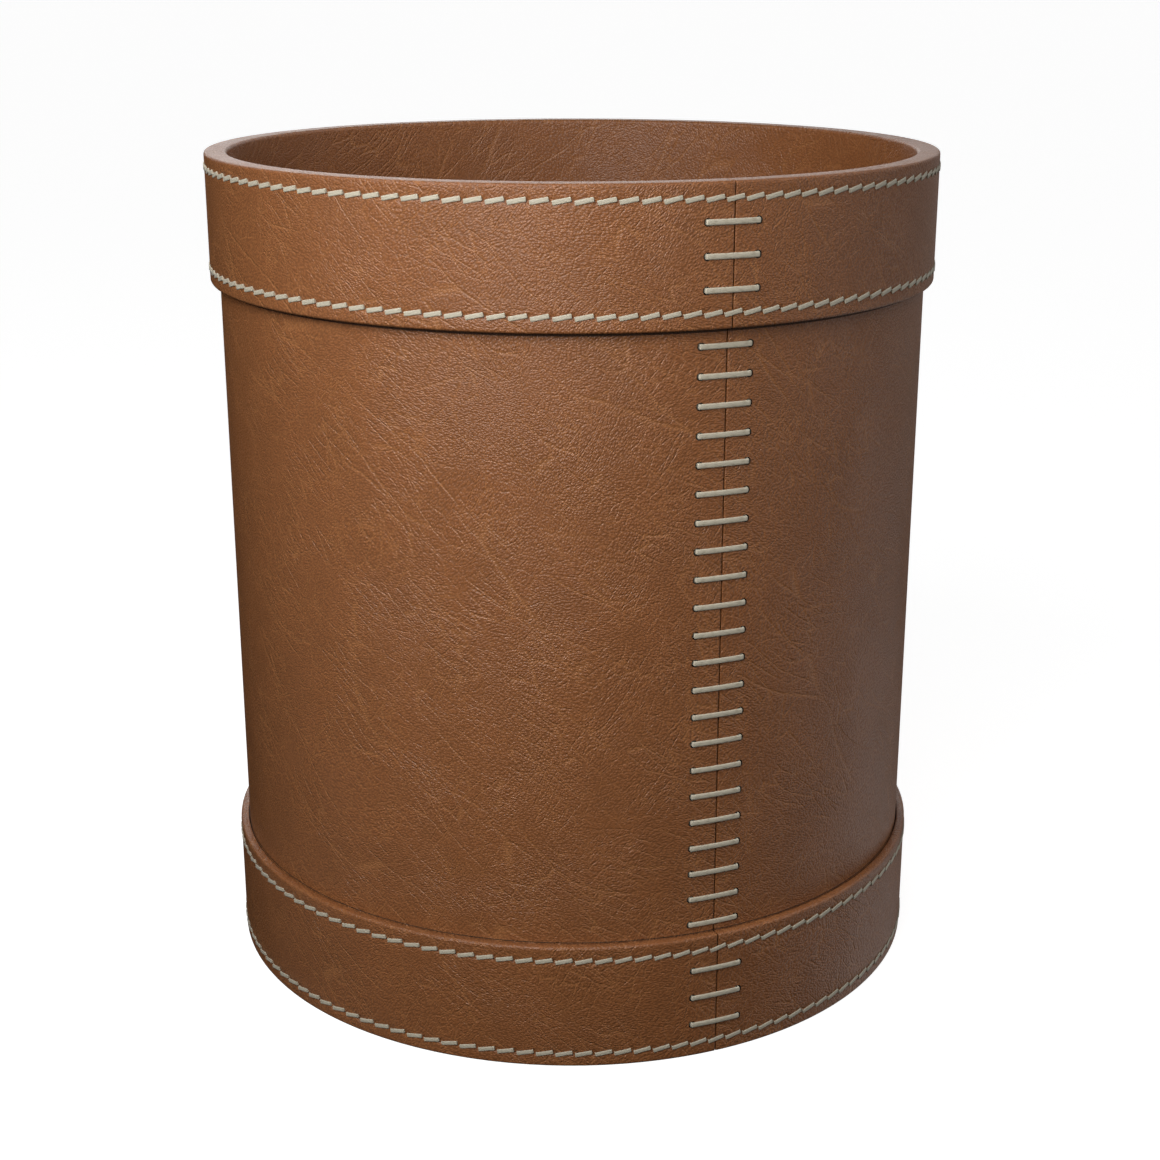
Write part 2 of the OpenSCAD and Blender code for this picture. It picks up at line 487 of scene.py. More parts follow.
def warped(tree, place, size_mm, shift_mm):
    """The same coordinates, pushed about so that nothing on them runs dead straight."""
    add = partial(put, tree)
    drift = {"noise_dimensions": "2D", "Scale": per_unit(size_mm), "Detail": 1.0}
    push = add("ShaderNodeTexNoise", drift, {"Vector": place}).outputs["Color"]
    push = add("ShaderNodeVectorMath", {"operation": "SUBTRACT", 1: (0.5, 0.5, 0.5)}, {0: push}).outputs[0]
    shift = {"operation": "SCALE", "Scale": shift_mm * MM / UV_UNIT}
    push = add("ShaderNodeVectorMath", shift, {0: push}).outputs[0]
    return add("ShaderNodeVectorMath", {"operation": "ADD"}, {0: place, 1: push}).outputs[0]


def pebbled(tree, hide, turn_degrees):
    """Round-backed pebbles, 0.36 by 0.24 mm, with narrow valleys between them."""
    add = partial(put, tree)
    turned = {"vector_type": "TEXTURE", "Rotation": (0, 0, math.radians(turn_degrees)), "Scale": (1.5, 1, 1)}
    lying = add("ShaderNodeMapping", turned, {"Vector": hide}).outputs[0]
    cells = {"voronoi_dimensions": "2D", "Scale": per_unit(0.24)}
    from_middle = add("ShaderNodeTexVoronoi", cells, {"Vector": lying}).outputs["Distance"]
    rounded = {**SMOOTH, "From Min": 0.05, "From Max": 0.72, "To Min": 1.0, "To Max": 0.0}
    return add("ShaderNodeMapRange", rounded, {"Value": from_middle}).outputs[0]


# Nets of creases: direction in degrees, length and width of a mesh, width of a line and size of the
# creased areas in mm, how much of the hide they leave bare, and their depth
CREASES = (
    (58, 2.4, 1.1, 0.11, 5.0, 0.47, 0.6),
    (-30, 2.6, 1.2, 0.11, 6.0, 0.48, 0.6),
    (-42, 6.5, 1.4, 0.14, 8.0, 0.5, 1.0),
    (62, 5.0, 1.3, 0.12, 6.5, 0.53, 0.8),
    (-40, 30.0, 4.0, 0.17, 11.0, 0.5, 1.0),
)


def creased(tree, hide, wavy, turn_degrees, along_mm, across_mm, line_mm, area_mm, bare, depth):
    """One net of thin folds, drawn out along its direction and fading in and out."""
    add = partial(put, tree)
    stretch = (along_mm / across_mm, 1, 1)
    turned = {"vector_type": "TEXTURE", "Rotation": (0, 0, math.radians(turn_degrees)), "Scale": stretch}
    lying = add("ShaderNodeMapping", turned, {"Vector": wavy}).outputs[0]
    meshes = {"voronoi_dimensions": "2D", "feature": "DISTANCE_TO_EDGE", "Scale": per_unit(across_mm)}
    from_line = add("ShaderNodeTexVoronoi", meshes, {"Vector": lying}).outputs["Distance"]
    thin = {**SMOOTH, "From Min": 0.0, "From Max": line_mm / across_mm, "To Min": 1.0, "To Max": 0.0}
    line = add("ShaderNodeMapRange", thin, {"Value": from_line}).outputs[0]
    areas = {"noise_dimensions": "2D", "Scale": per_unit(area_mm), "Detail": 2.0}
    area = add("ShaderNodeTexNoise", areas, {"Vector": hide}).outputs["Fac"]
    faded = {**SMOOTH, "From Min": bare - 0.08, "From Max": bare + 0.12, "To Min": 0.0, "To Max": depth}
    strength = add("ShaderNodeMapRange", faded, {"Value": area}).outputs[0]
    return add("ShaderNodeMath", {"operation": "MULTIPLY"}, {0: line, 1: strength}).outputs[0]


def leather_material(name, deep, face, warm, seed):
    """Full-grain calf, drum-dyed and waxed: fine pebbles pulled into rows, a net of soft creases, dye that
    gathers in patches and thins on the creases, and a low, uneven wax gloss."""
    material, tree = new_material(name)
    add = partial(put, tree)
    uv = add("ShaderNodeUVMap", {"uv_map": "hide"}).outputs["UV"]
    area_of_hide = {"Location": (seed * 3.7, seed * 1.9, 0)}
    cut = add("ShaderNodeMapping", area_of_hide, {"Vector": uv}).outputs["Vector"]
    hide = warped(tree, cut, 22, 5.0)
    wavy = warped(tree, hide, 1.4, 0.3)

    # Pebbles, pulled out nearly level in some areas and on the slant in others, with finer pores on them
    areas = {"noise_dimensions": "2D", "Scale": per_unit(13), "Detail": 1.0}
    area = add("ShaderNodeTexNoise", areas, {"Vector": cut}).outputs["Fac"]
    sharp = {**SMOOTH, "From Min": 0.48, "From Max": 0.52}
    slanted = add("ShaderNodeMapRange", sharp, {"Value": area}).outputs[0]
    two_ways = {0: slanted, 2: pebbled(tree, hide, -6), 3: pebbled(tree, hide, 45)}
    pebbles = add("ShaderNodeMix", {}, two_ways).outputs[0]
    fine = {"noise_dimensions": "2D", "Scale": per_unit(0.16), "Detail": 1.0}
    pores = add("ShaderNodeTexNoise", fine, {"Vector": hide}).outputs["Fac"]
    relief = add("ShaderNodeMath", {"operation": "MULTIPLY_ADD", 1: 0.5}, {0: pores, 2: pebbles}).outputs[0]

    # The grain is pressed flatter in some areas than in others
    areas = {"noise_dimensions": "2D", "Scale": per_unit(8), "Detail": 3.0}
    area = add("ShaderNodeTexNoise", areas, {"Vector": hide}).outputs["Fac"]
    depths = {**SMOOTH, "From Min": 0.3, "From Max": 0.7, "To Min": 0.6, "To Max": 0.8}
    depth = add("ShaderNodeMapRange", depths, {"Value": area}).outputs[0]
    grain = add("ShaderNodeMath", {"operation": "MULTIPLY"}, {0: relief, 1: depth}).outputs[0]

    nets = [creased(tree, hide, wavy, *net) for net in CREASES]
    folds = nets[0]
    for net in nets[1:]:
        folds = add("ShaderNodeMath", {"operation": "MAXIMUM"}, {0: folds, 1: net}).outputs[0]

    # Colour: dye patches, thin dye on the folds, and darker valleys between the pebbles, partly dye settled
    # there and partly painted shade of the grain
    areas = {"noise_dimensions": "2D", "Scale": per_unit(6), "Detail": 4.0, "Roughness": 0.6}
    area = add("ShaderNodeTexNoise", areas, {"Vector": hide}).outputs["Fac"]
    soft = {**SMOOTH, "From Min": 0.3, "From Max": 0.7}
    patches = add("ShaderNodeMapRange", soft, {"Value": area}).outputs[0]
    dyed = add("ShaderNodeMix", {"data_type": "RGBA", 6: deep, 7: face}, {0: patches}).outputs[2]
    thinned_dye = add("ShaderNodeMath", {"operation": "MULTIPLY", 1: 0.5}, {0: folds}).outputs[0]
    stretched = add("ShaderNodeMix", {"data_type": "RGBA", 7: warm}, {0: thinned_dye, 6: dyed}).outputs[2]
    valleys = {**SMOOTH, "From Min": 0.0, "From Max": 1.3, "To Min": 0.68, "To Max": 0.93}
    valley_dye_and_shade = add("ShaderNodeMapRange", valleys, {"Value": relief}).outputs[0]
    darker = {"data_type": "RGBA", "blend_type": "MULTIPLY", 0: 1.0}
    tint = add("ShaderNodeMix", darker, {6: stretched, 7: valley_dye_and_shade}).outputs[2]

    # Painted shade: hardly any light comes back out of the holes and the joints between two layers, so they
    # are given a dark colour
    hollow = add("ShaderNodeAttribute", {"attribute_name": "hollow"}).outputs["Fac"]
    tint = add("ShaderNodeMix", {"data_type": "RGBA", 7: IN_SHADE}, {0: hollow, 6: tint}).outputs[2]

    # Height in shares of the grain's depth
    height = add("ShaderNodeMath", {"operation": "MULTIPLY_ADD", 1: -0.9}, {0: folds, 2: grain}).outputs[0]
    bump = add("ShaderNodeBump", {"Strength": 1.0, "Distance": 0.06 * MM}, {"Height": height}).outputs[0]

    # Wax polished up on the pebbles' backs, duller in the valleys and not at all in the holes
    polish = {**SMOOTH, "From Min": 0.2, "From Max": 1.0, "To Min": 0.47, "To Max": 0.37}
    waxed = add("ShaderNodeMapRange", polish, {"Value": pebbles}).outputs[0]
    gloss = add("ShaderNodeMath", {"operation": "MAXIMUM"}, {0: waxed, 1: hollow}).outputs[0]
    looks = {"Base Color": tint, "Roughness": gloss, "Normal": bump}
    surface = add("ShaderNodeBsdfPrincipled", {"IOR": 1.5}, looks)
    add("ShaderNodeOutputMaterial", {}, {"Surface": surface.outputs[0]})
    return material


def thread_material(name, light, dark):
    """Flat waxed linen, its plies laid side by side: almost matt, with fibres along it and darker gaps."""
    material, tree = new_material(name)
    add = partial(put, tree)
    uv = add("ShaderNodeUVMap", {"uv_map": "hide"}).outputs["UV"]
    drawn_out = {"vector_type": "TEXTURE", "Scale": (9, 1, 1)}
    along = add("ShaderNodeMapping", drawn_out, {"Vector": uv}).outputs[0]
    fine = {"noise_dimensions": "2D", "Scale": per_unit(0.07), "Detail": 2.0}
    fibres = add("ShaderNodeTexNoise", fine, {"Vector": along}).outputs["Fac"]
    gaps = add("ShaderNodeMapRange", {"From Min": 0.25, "From Max": 0.5}, {"Value": fibres}).outputs[0]
    tint = add("ShaderNodeMix", {"data_type": "RGBA", 6: dark, 7: light}, {0: gaps}).outputs[2]
    bump = add("ShaderNodeBump", {"Strength": 1.0, "Distance": 0.02 * MM}, {"Height": fibres}).outputs[0]
    waxed = {"Roughness": 0.6, "IOR": 1.47, "Sheen Weight": 0.1, "Sheen Roughness": 0.5}
    surface = add("ShaderNodeBsdfPrincipled", waxed, {"Base Color": tint, "Normal": bump})
    add("ShaderNodeOutputMaterial", {}, {"Surface": surface.outputs[0]})
    return material


def board_material(name, tone):
    """Grey board pressed from waste paper: matt, with short darker fibres."""
    material, tree = new_material(name)
    add = partial(put, tree)
    place = add("ShaderNodeTexCoord").outputs["Object"]
    lying = add("ShaderNodeMapping", {"Scale": (1.0, 1.0, 0.3)}, {"Vector": place}).outputs[0]
    pulp = {"Scale": 1 / (0.5 * MM), "Detail": 4.0, "Roughness": 0.7}
    fibre = add("ShaderNodeTexNoise", pulp, {"Vector": lying}).outputs["Fac"]
    dark = tuple(0.55 * part for part in tone[:3]) + (1.0,)
    spread = add("ShaderNodeMapRange", {"From Min": 0.35, "From Max": 0.6}, {"Value": fibre}).outputs[0]
    tint = add("ShaderNodeMix", {"data_type": "RGBA", 6: dark, 7: tuple(tone)}, {0: spread}).outputs[2]
    bump = add("ShaderNodeBump", {"Strength": 0.5, "Distance": 0.03 * MM}, {"Height": fibre}).outputs[0]
    matt = {"Roughness": 0.9, "IOR": 1.45}
    surface = add("ShaderNodeBsdfPrincipled", matt, {"Base Color": tint, "Normal": bump})
    add("ShaderNodeOutputMaterial", {}, {"Surface": surface.outputs[0]})
    return material


def felt_material(name, tone):
    """Pressed wool felt: tangled short fibres with a soft sheen."""
    material, tree = new_material(name)
    add = partial(put, tree)
    place = add("ShaderNodeTexCoord").outputs["Object"]
    wool = {"Scale": 1 / (0.35 * MM), "Detail": 5.0, "Distortion": 1.2}
    tangle = add("ShaderNodeTexNoise", wool, {"Vector": place}).outputs["Fac"]
    light = tuple(min(1.0, 1.6 * part) for part in tone[:3]) + (1.0,)
    tint = add("ShaderNodeMix", {"data_type": "RGBA", 6: tuple(tone), 7: light}, {0: tangle}).outputs[2]
    bump = add("ShaderNodeBump", {"Strength": 0.8, "Distance": 0.1 * MM}, {"Height": tangle}).outputs[0]
    soft = {"Roughness": 0.95, "IOR": 1.45, "Sheen Weight": 0.4}
    surface = add("ShaderNodeBsdfPrincipled", soft, {"Base Color": tint, "Normal": bump})
    add("ShaderNodeOutputMaterial", {}, {"Surface": surface.outputs[0]})
    return material


# Each piece of leather is cut from its own area of the hide
HIDE_AREAS = ("cover", "collar", "base band", "lining", "sole")


def leather_for(part):
    leather = bpy.context.scene.cup_leather
    dyes = [tuple(dye) for dye in (leather.leather_deep, leather.leather, leather.leather_warm)]
    return leather_material(f"Waxed calf, {part}", *dyes, seed=HIDE_AREAS.index(part) + 1)


# ---------------------------------------------------------------- leather pieces

# Cuts beside a row of edge stitching, in mm from its middle
ROW_STEPS = (-1.2, -0.85, -0.6, -0.4, -0.2, 0.0, 0.2, 0.4, 0.6, 0.85, 1.2)
CLEAR_OF_ENDS = 0.45 * MM
CLOSEST_ROWS = 0.04 * MM


def rows_near(heights, steps_mm, low, high):
    """Heights of the cuts that detail needs round each given height, kept clear of the ends."""
    rows = {round(z + step * MM, 6) for z in heights for step in steps_mm}
    return sorted(z for z in rows if low + CLEAR_OF_ENDS < z < high - CLEAR_OF_ENDS)


def hole_steps(width):
    """Cuts that give a hole three cells of height, in mm from its middle."""
    cell = width / MM / 3
    return (-1.5 * cell, -0.5 * cell, 0.5 * cell, 1.5 * cell)


def thinned(rows):
    """The rows in order, without those that lie too close to the one below."""
    kept = []
    for z in sorted(rows):
        if not kept or z - kept[-1] > CLOSEST_ROWS:
            kept.append(z)
    return kept


class CUP_OT_cover(Operator):
    """Wrap the cover round the cup and punch its lacing holes"""

    bl_idname = "cup.cover"
    bl_label = "Cover"

    def execute(self, context):
        leather, thread = context.scene.cup_leather, context.scene.cup_thread
        start = leather.seam_turn + leather.seam_gap / 2 / COVER_R
        heights = lace_heights("cover_lacing", thread.cover_laces, thread.lace_width)
        piece = section_of_leather("cover", CORE_R, COVER_R, 0, WALL_TOP, start)
        # Strips of cover that get painted shade: the collar's shadow under its edge and the gap over the
        # base band
        joints = ((COLLAR_Z - UNDER_COLLAR, COLLAR_Z), (BASE_BAND_H, BASE_BAND_H + OVER_BASE_BAND))
        rows = rows_near(heights, hole_steps(thread.hole_width), 0, WALL_TOP)
        rows += [z for shaded_strip in joints for z in shaded_strip]
        cut_rows(piece, thinned(rows))
        cell = thread.hole_width / 3 / COVER_R
        fine, coarse = 16, 150  # columns beside the seam, and round the rest
        rest = math.tau - leather.seam_gap / COVER_R - 2 * fine * cell
        wrap_round(piece, ((fine, fine * cell), (coarse, rest), (fine, fine * cell)))
        soften_seam(piece, leather.seam_turn, leather.lip)
        punch(piece, hole_places(heights, thread, CORE_R), COVER_R, CORE_R, thread.hole_width)
        paint_strip_shade(piece, joints)
        lay_out_strip(piece, leather.seam_turn, COVER_R)
        smooth(piece)
        hand_over(piece, "outer_cover", leather_for("cover"))
        return {"FINISHED"}


def wrap_band(piece, start, context):
    """Wraps a band's section once round, eight columns to a stitch."""
    stitches = context.scene.cup_thread.stitches
    whole = math.tau - context.scene.cup_leather.seam_gap / BAND_R
    wrap_round(piece, ((stitches, whole),))
    divide_steps(piece, start, whole / stitches, cuts=7)


class CUP_OT_collar(Operator):
    """Wrap the collar round the mouth, turn it over the rim and press its stitching"""

    bl_idname = "cup.collar"
    bl_label = "Collar"

    def execute(self, context):
        leather, thread = context.scene.cup_leather, context.scene.cup_thread
        start = leather.seam_turn + leather.seam_gap / 2 / BAND_R
        heights = lace_heights("collar_lacing", thread.band_laces, thread.lace_width)
        piece = section_of_leather("collar_band", COVER_R, BAND_R, COLLAR_Z, CUP_H, start)
        rows = rows_near(COLLAR_ROWS.values(), ROW_STEPS, COLLAR_Z, WALL_TOP + 0.2 * MM)
        rows += rows_near(heights, hole_steps(thread.hole_width), COLLAR_Z, WALL_TOP)
        cut_rows(piece, thinned(rows) + [WALL_TOP])
        turn_over(piece, start)
        round_corners(piece, ((BAND_R, COLLAR_Z), (BAND_R, CUP_H)), leather.edge_round)
        round_corners(piece, ((COVER_R, COLLAR_Z),), leather.inner_round, 3)
        round_corners(piece, ((INNER_R, CUP_H),), leather.rim_round, 5)
        wrap_band(piece, start, context)
        soften_seam(piece, leather.seam_turn, leather.lip)
        press_rows(piece, COLLAR_ROWS.values(), thread)
        punch(piece, hole_places(heights, thread, COVER_R), BAND_R, COVER_R, thread.hole_width)
        lay_out_strip(piece, leather.seam_turn, BAND_R)
        smooth(piece)
        hand_over(piece, "collar", leather_for("collar"))
        return {"FINISHED"}


def turn_over(piece, turn):
    """Draws the pared top of the collar's section inwards over the rim."""
    bm = edit(piece)
    bpy.ops.mesh.select_mode(type="EDGE")
    inner = [
        e
        for e in bm.edges
        if all(v.co.xy.length < COVER_R + NEAR and v.co.z > WALL_TOP - NEAR for v in e.verts)
    ]
    select_only(bm, inner)
    bpy.ops.mesh.extrude_region_move(TRANSFORM_OT_translate={"value": outward(turn) * (INNER_R - COVER_R)})
    return done(piece)


class CUP_OT_base_band(Operator):
    """Wrap the base band round the foot and press its stitching"""

    bl_idname = "cup.base_band"
    bl_label = "Base band"

    def execute(self, context):
        leather, thread = context.scene.cup_leather, context.scene.cup_thread
        start = leather.seam_turn + leather.seam_gap / 2 / BAND_R
        heights = lace_heights("base_band_lacing", thread.band_laces, thread.lace_width)
        piece = section_of_leather("foot_band", COVER_R, BAND_R, 0, BASE_BAND_H, start)
        rows = rows_near(BASE_ROWS.values(), ROW_STEPS, 0, BASE_BAND_H)
        rows += rows_near(heights, hole_steps(thread.hole_width), 0, BASE_BAND_H)
        cut_rows(piece, thinned(rows))
        round_corners(piece, ((BAND_R, 0), (BAND_R, BASE_BAND_H)), leather.edge_round)
        round_corners(piece, ((COVER_R, BASE_BAND_H),), leather.inner_round, 3)
        wrap_band(piece, start, context)
        soften_seam(piece, leather.seam_turn, leather.lip)
        press_rows(piece, BASE_ROWS.values(), thread)
        punch(piece, hole_places(heights, thread, COVER_R), BAND_R, COVER_R, thread.hole_width)
        lay_out_strip(piece, leather.seam_turn, BAND_R)
        smooth(piece)
        hand_over(piece, "base_band", leather_for("base band"))
        return {"FINISHED"}


class CUP_OT_lining(Operator):
    """Line the wall and lay the floor leather"""

    bl_idname = "cup.lining"
    bl_label = "Lining"

    def execute(self, context):
        leather = context.scene.cup_leather
        hide = leather_for("lining")
        start = leather.lining_seam_turn + leather.seam_gap / 2 / LINING_R
        piece = section_of_leather("lining", INNER_R, LINING_R, LINING_Z, WALL_TOP, start)
        cut_rows(piece, [FLOOR_TOP + i * 6 * MM for i in range(1, 16)])
        wrap_round(piece, ((180, math.tau - leather.seam_gap / LINING_R),))
        soften_seam(piece, leather.lining_seam_turn, leather.lip)
        lay_out_strip(piece, leather.lining_seam_turn, LINING_R)
        smooth(piece)
        hand_over(piece, "lining_sleeve", hide)

        floor = leather_disc("floor_leather", INNER_R, FLOOR_LOW, FLOOR_TOP, top_round=0.3 * MM)
        hand_over(floor, "floor_lining", hide)
        return {"FINISHED"}


def leather_disc(name, radius, z_low, z_high, top_round=0.0, bottom_round=0.0):
    """A die-cut disc with its upper or lower edge rounded."""
    start_clean()
    bpy.ops.mesh.primitive_cylinder_add(
        vertices=144, radius=radius, depth=z_high - z_low, location=(0, 0, (z_low + z_high) / 2)
    )
    piece = settle(name)
    for z, rounding in ((z_high, top_round), (z_low, bottom_round)):
        if rounding:
            bm = edit(piece)
            bpy.ops.mesh.select_mode(type="EDGE")
            select_only(bm, [e for e in bm.edges if all(abs(v.co.z - z) < NEAR for v in e.verts)])
            bpy.ops.mesh.bevel(offset=rounding, segments=3, affect="EDGES")
            done(piece)
    rings = 4
    for z in (z_low, z_high):
        bm = edit(piece)
        bpy.ops.mesh.select_mode(type="FACE")
        many_sided = [f for f in bm.faces if len(f.verts) > 4]
        select_only(bm, [f for f in many_sided if abs(f.calc_center_median().z - z) < NEAR])
        for _ in range(rings):
            bpy.ops.mesh.inset(thickness=radius / (rings + 2))
        done(piece)
    lay_out_disc(piece)
    smooth(piece)
    return piece


class CUP_OT_sole(Operator):
    """Cut the leather sole"""

    bl_idname = "cup.sole"
    bl_label = "Sole"

    def execute(self, context):
        sole = leather_disc("sole", CORE_R, 0, SOLE_T, bottom_round=0.25 * MM)
        hand_over(sole, "base_sole", leather_for("sole"))
        return {"FINISHED"}


class CUP_OT_stiffening(Operator):
    """Give the boards and the felt inside their materials"""

    bl_idname = "cup.stiffening"
    bl_label = "Boards and felt"

    def execute(self, context):
        leather = context.scene.cup_leather
        board = board_material("Grey board", leather.board)
        felt = felt_material("Wool felt", leather.felt)
        for node, material in (("core_tube", board), ("base_board", board), ("floor_felt", felt)):
            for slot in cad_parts[node].material_slots:
                slot.material = material
        return {"FINISHED"}


# ---------------------------------------------------------------- thread

# Outlines of the threads, each with three plies: (across, up) as shares of width and rise
FLAT_THREAD = (
    (-0.46, 0.0), (-0.5, 0.45), (-0.34, 0.96), (-0.17, 0.8), (0.0, 1.0),
    (0.17, 0.8), (0.34, 0.96), (0.5, 0.45), (0.46, 0.0),
)
ROUND_LACE = (
    (-0.3, 0.0), (-0.48, 0.22), (-0.5, 0.5), (-0.42, 0.78), (-0.27, 0.93), (-0.14, 0.93), (0.0, 1.0),
    (0.14, 0.93), (0.27, 0.93), (0.42, 0.78), (0.5, 0.5), (0.48, 0.22), (0.3, 0.0),
)


def staple(name, section, width, rise, reach, leg, bend_steps, bar_steps, square):
    """One stitch lying along X with Y out of the leather: a leg down, the bar, and a leg down.

    section: (across, up) points as shares of width and rise; reach: full length of the bar;
    leg: depth of the legs; square: 0 for round shoulders, 1 for sharp ones.
    """
    inner = reach / 2 - rise

    def shoulder(side, a):
        fullness = (1 / max(math.cos(a), math.sin(a))) ** square
        return Vector((side * inner, 0)), Vector((side * math.cos(a), math.sin(a))) * fullness

    turns = [math.radians(90 * i / bend_steps) for i in range(bend_steps + 1)]
    stations = [(Vector((-inner, -leg)), Vector((-1, 0)))]
    stations += [shoulder(-1, a) for a in turns]
    stations += [(Vector((inner * (2 * i / bar_steps - 1), 0)), Vector((0, 1))) for i in range(1, bar_steps)]
    stations += [shoulder(1, a) for a in reversed(turns)]
    stations += [(Vector((inner, -leg)), Vector((1, 0)))]
    last = len(stations) - 1
    start_clean()
    middle = (0, 0, last / 2)
    bpy.ops.mesh.primitive_cylinder_add(vertices=len(section), radius=1, depth=last, location=middle)
    piece = settle(name)
    edit(piece)
    for i in range(1, last):
        bpy.ops.mesh.select_all(action="SELECT")
        bpy.ops.mesh.bisect(plane_co=(0, 0, i), plane_no=(0, 0, 1))
    done(piece)
    girth = 2.4 * width
    layer = piece.data.uv_layers[0]
    layer.name = "hide"
    marks = {}
    for v in piece.data.vertices:
        station = round(v.co.z)
        k = round((math.atan2(v.co.x, v.co.y) % math.tau) / math.tau * len(section)) % len(section)
        (foot, up), (across, lift) = stations[station], section[k]
        spot = foot + up * lift * rise
        marks[v.index] = (station, k)
        v.co = (spot.x, spot.y, across * width)
    for loop in piece.data.loops:
        station, k = marks[loop.vertex_index]
        foot = stations[station][0]
        layer.data[loop.index].uv = (foot.x / UV_UNIT, k / len(section) * girth / UV_UNIT)
    edit(piece)
    bpy.ops.mesh.select_all(action="SELECT")
    bpy.ops.mesh.remove_doubles(threshold=SAME)
    bpy.ops.mesh.normals_make_consistent(inside=False)
    return done(piece)


def lay_copies(name, pattern, places):
    """One piece made of copies of a stitch; each place turns a flat point into one on the cup."""
    bm = bmesh.new()
    for place in places:
        laid = len(bm.verts)
        bm.from_mesh(pattern.data)
        bm.verts.ensure_lookup_table()
        for v in bm.verts[laid:]:
            v.co = place(v.co)
    # Out of the leather is +Y on the flat but runs the other way round the cup, which mirrors every copy
    bmesh.ops.reverse_faces(bm, faces=bm.faces[:])
    mesh = bpy.data.meshes.new(name)
    bm.to_mesh(mesh)
    bm.free()
    piece = bpy.data.objects.new(name, mesh)
    bpy.context.scene.collection.objects.link(piece)
    smooth(piece, 60)
    return piece


def waxed_thread(context):
    thread = context.scene.cup_thread
    return thread_material("Waxed linen thread", tuple(thread.thread), tuple(thread.thread_dark))


def sewn(co, turn, slant, lift):
    """Where a point of the flat stitch lies once it is slanted and sewn into a band."""
    return wrap(slant @ co + lift, turn, BAND_R)


class CUP_OT_edge_stitching(Operator):
    """Sew the four rows of edge stitching"""

    bl_idname = "cup.edge_stitching"
    bl_label = "Edge stitching"

    def execute(self, context):
        leather, thread = context.scene.cup_leather, context.scene.cup_thread
        material = waxed_thread(context)
        size = {"width": thread.stitch_width, "rise": thread.stitch_rise, "reach": thread.stitch_length}
        pattern = staple("stitch", FLAT_THREAD, **size, leg=0.3 * MM, bend_steps=2, bar_steps=1, square=0.75)
        step = math.tau / thread.stitches
        wander, lean = 0.012 * MM, 0.6  # how far a hand-sewn stitch strays, and how many degrees it leans
        dice = random.Random(7)
        for node, z in {**COLLAR_ROWS, **BASE_ROWS}.items():
            places = []
            for i in range(thread.stitches):
                turn = leather.seam_turn + thread.stitch_offset + i * step + dice.gauss(0, wander) / BAND_R
                slant = Matrix.Rotation(-thread.stitch_slant + math.radians(dice.gauss(0, lean)), 4, "Y")
                lift = Vector((0, 0, z + dice.gauss(0, wander)))
                places.append(partial(sewn, turn=turn, slant=slant, lift=lift))
            row = lay_copies(node.replace("stitching", "stitches"), pattern, places)
            hand_over(row, node, material)
        bpy.data.objects.remove(pattern)
        return {"FINISHED"}


class CUP_OT_lacing(Operator):
    """Lace the seams of the cover, the collar and the base band"""

    bl_idname = "cup.lacing"
    bl_label = "Seam lacing"

    def execute(self, context):
        leather, thread = context.scene.cup_leather, context.scene.cup_thread
        material = waxed_thread(context)
        seams = (
            ("cover_lacing", "cover_laces", thread.cover_laces, CORE_R, COVER_R),
            ("collar_lacing", "collar_laces", thread.band_laces, COVER_R, BAND_R),
            ("base_band_lacing", "base_band_laces", thread.band_laces, COVER_R, BAND_R),
        )
        tuck = 0.2 * MM  # how far the shoulders stay inside the outer edges of the holes
        for node, name, count, back_r, face_r in seams:
            reach = thread.lace_span * face_r / back_r + thread.lace_width - tuck
            size = {"width": thread.lace_width, "rise": thread.lace_rise, "reach": reach}
            pattern = staple("lace", ROUND_LACE, **size, leg=0.5 * MM, bend_steps=4, bar_steps=6, square=0.5)
            places = [
                lambda co, z=z: wrap(co + Vector((0, 0, z)), leather.seam_turn, face_r)
                for z in lace_heights(node, count, thread.lace_width)
            ]
            hand_over(lay_copies(name, pattern, places), node, material)
            bpy.data.objects.remove(pattern)
        return {"FINISHED"}


# ---------------------------------------------------------------- studio

# Softboxes near the cup: (name, turn, elevation, watts, distance)
SOFTBOXES = (
    ("key softbox", -15, 30, 0.19, 200 * MM),
    ("left softbox", -35, 40, 0.45, 280 * MM),
)
SOFTBOX_SIZE = 0.6  # of its distance

# Far panels, as wide as 40 degrees seen from the cup: (name, turn, elevation, watts per square metre).
# Those under the horizon stand for the light that the pale table gives back.
PANELS = (
    ("right panel", 110, 38, 0.7),
    ("low right panel", 70, 8, 0.43),
    ("back panel", 180, 8, 0.42),
    ("back left panel", -165, 22, 0.45),
    ("back right panel", 150, 8, 0.11),
    ("table glow right", 120, -30, 0.27),
    ("table glow left", -90, -30, 0.08),
)
PANEL_WIDTH = math.radians(40)

LENS = 59.94
SENSOR = 36.0
CAMERA_PLACE = (0.0, -238.71 * MM, 120.45 * MM)
CAMERA_DOWN = math.radians(17.584)
CAMERA_ASIDE = math.radians(-0.228)
NEAREST_SEEN = 10 * MM
FLOOR_SIZE = 60  # metres, so that its edge is out of sight


def hang_light(name, kind, turn, elevation, energy, distance=1.0):
    """Hangs a lamp that faces the middle of the cup."""
    lamp = bpy.data.lights.new(name, kind)
    lamp.energy = energy
    towards = outward(math.radians(turn)) * math.cos(math.radians(elevation))
    towards.z = math.sin(math.radians(elevation))
    holder = bpy.data.objects.new(name, lamp)
    holder.location = Vector((0, 0, CUP_H / 2)) + towards * distance
    holder.rotation_euler = towards.to_track_quat("Z", "Y").to_euler()
    bpy.context.scene.collection.objects.link(holder)
    return lamp


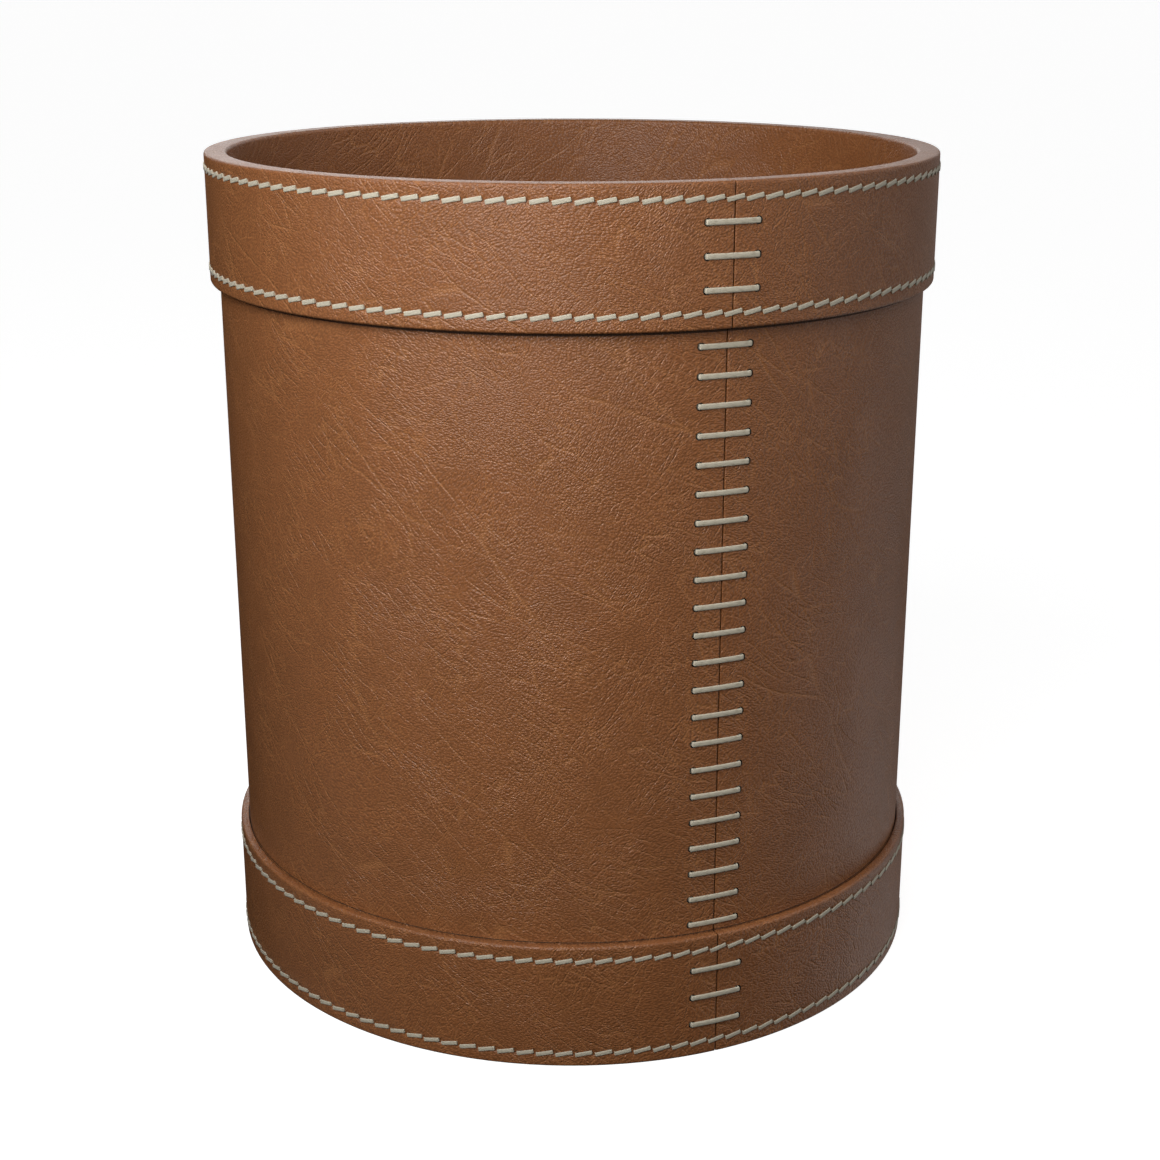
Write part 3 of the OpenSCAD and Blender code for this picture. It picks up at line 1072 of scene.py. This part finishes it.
def set_camera(scene):
    """Sets the camera in front of the cup, a little above its rim."""
    camera = bpy.data.cameras.new("camera")
    camera.lens = LENS
    camera.sensor_width = SENSOR
    camera.clip_start = NEAREST_SEEN
    holder = bpy.data.objects.new("camera", camera)
    holder.location = CAMERA_PLACE
    holder.rotation_euler = (math.pi / 2 - CAMERA_DOWN, 0.0, CAMERA_ASIDE)
    scene.collection.objects.link(holder)
    scene.camera = holder


def floor_material():
    """White studio sweep: matt paper that glows evenly, so that it is white right up to the cup."""
    material, tree = new_material("White studio sweep")
    glowing = {
        "Base Color": linear("#b8b8b8"),
        "Roughness": 0.9,
        "Specular IOR Level": 0.0,
        "Emission Color": WHITE,
        "Emission Strength": 0.86,
    }
    paper = put(tree, "ShaderNodeBsdfPrincipled", glowing)
    put(tree, "ShaderNodeOutputMaterial", {}, {"Surface": paper.outputs[0]})
    return material


def lay_floor():
    """Lays the sweep. It is only seen: its light on the cup comes from the panels under the horizon."""
    start_clean()
    bpy.ops.mesh.primitive_plane_add(size=FLOOR_SIZE, location=(0, 0, 0))
    floor = settle("floor")
    floor.data.materials.append(floor_material())
    floor.visible_glossy = False
    floor.visible_diffuse = False
    floor.visible_shadow = False


def hang_wall(scene):
    """Hangs the white wall behind the sweep, which is only seen too."""
    world = bpy.data.worlds.new("white studio wall")
    world.use_nodes = True
    wall = world.node_tree.nodes["Background"]
    wall.inputs["Color"].default_value = WHITE
    wall.inputs["Strength"].default_value = 1.0
    world.cycles_visibility.diffuse = False
    world.cycles_visibility.glossy = False
    scene.world = world


class CUP_OT_stage(Operator):
    """Set the camera, the pale floor and the soft studio lights"""

    bl_idname = "cup.stage"
    bl_label = "Stage"

    def execute(self, context):
        scene = context.scene
        scene.view_settings.view_transform = "Standard"
        set_camera(scene)
        lay_floor()
        hang_wall(scene)
        for name, turn, elevation, watts, distance in SOFTBOXES:
            lamp = hang_light(name, "AREA", turn, elevation, watts, distance)
            lamp.size = SOFTBOX_SIZE * distance
        for name, turn, elevation, strength in PANELS:
            hang_light(name, "SUN", turn, elevation, strength).angle = PANEL_WIDTH
        return {"FINISHED"}


# ---------------------------------------------------------------- panel and registration

STEPS = (
    CUP_OT_stage,
    CUP_OT_cover,
    CUP_OT_collar,
    CUP_OT_base_band,
    CUP_OT_lining,
    CUP_OT_sole,
    CUP_OT_stiffening,
    CUP_OT_edge_stitching,
    CUP_OT_lacing,
)


class CUP_PT_panel(Panel):
    bl_idname = "CUP_PT_panel"
    bl_label = "Dice Cup"
    bl_space_type = "VIEW_3D"
    bl_region_type = "UI"
    bl_category = "Dice Cup"

    def draw(self, context):
        for step in STEPS:
            self.layout.operator(step.bl_idname)
        for group in (context.scene.cup_leather, context.scene.cup_thread):
            column = self.layout.column()
            for name in group.__annotations__:
                column.prop(group, name)


CLASSES = (CupLeatherSettings, CupThreadSettings, *STEPS, CUP_PT_panel)


def register():
    for cls in CLASSES:
        bpy.utils.register_class(cls)
    bpy.types.Scene.cup_leather = PointerProperty(type=CupLeatherSettings)
    bpy.types.Scene.cup_thread = PointerProperty(type=CupThreadSettings)


def unregister():
    del bpy.types.Scene.cup_thread
    del bpy.types.Scene.cup_leather
    for cls in reversed(CLASSES):
        bpy.utils.unregister_class(cls)


def main():
    register()
    for step in STEPS:
        group, name = step.bl_idname.split(".")
        getattr(getattr(bpy.ops, group), name)()


if __name__ == "__main__":
    main()
